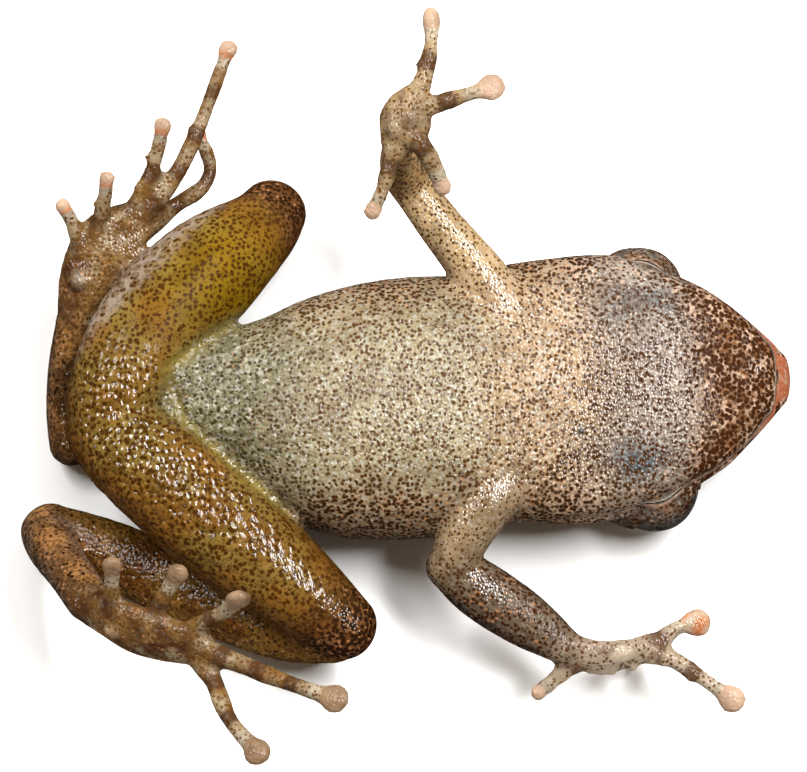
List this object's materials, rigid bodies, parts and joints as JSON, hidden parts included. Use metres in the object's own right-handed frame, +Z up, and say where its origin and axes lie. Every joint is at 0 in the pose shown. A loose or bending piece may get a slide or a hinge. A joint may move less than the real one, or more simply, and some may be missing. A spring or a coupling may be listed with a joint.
{
  "type": "rain frog model",
  "caption": "Small slender rain frog at life size, lying still on its back with the belly up, hind legs folded, toes spread and one arm raised.",
  "frame": {"origin": "middle of the flat on the back of the trunk, at the level of the floor", "axes": "+X toward the snout, +Y toward the frog's right side, +Z up, out of the belly"},
  "size_m": [0.0272, 0.026, 0.0105],
  "materials": {
    "skin_trunk": "moist granular skin, pale with brown dots",
    "skin_head": "moist skin with brown network",
    "skin_arm": "moist skin with brown dots",
    "skin_leg": "moist granular ochre skin",
    "skin_digit": "moist banded skin, orange pads",
    "eye": "wet, clear, dark"
  },
  "bodies": {
    "root": {"torso": "skin_trunk", "head": "skin_head", "eye_right": "eye", "eye_left": "eye", "upper_arm_right": "skin_arm", "forearm_right": "skin_arm", "hand_right": "skin_arm", "finger_right_1": "skin_digit", "finger_right_2": "skin_digit", "finger_right_3": "skin_digit", "finger_right_4": "skin_digit", "thigh_right": "skin_leg", "shank_right": "skin_leg", "tarsus_right": "skin_leg", "foot_right": "skin_leg", "toe_right_1": "skin_digit", "toe_right_2": "skin_digit", "toe_right_3": "skin_digit", "toe_right_4": "skin_digit", "toe_right_5": "skin_digit", "upper_arm_left": "skin_arm", "forearm_left": "skin_arm", "hand_left": "skin_arm", "finger_left_1": "skin_digit", "finger_left_2": "skin_digit", "finger_left_3": "skin_digit", "finger_left_4": "skin_digit", "thigh_left": "skin_leg", "shank_left": "skin_leg", "tarsus_left": "skin_leg", "foot_left": "skin_leg", "toe_left_1": "skin_digit", "toe_left_2": "skin_digit", "toe_left_3": "skin_digit", "toe_left_4": "skin_digit", "toe_left_5": "skin_digit"}
  },
  "joints": []
}
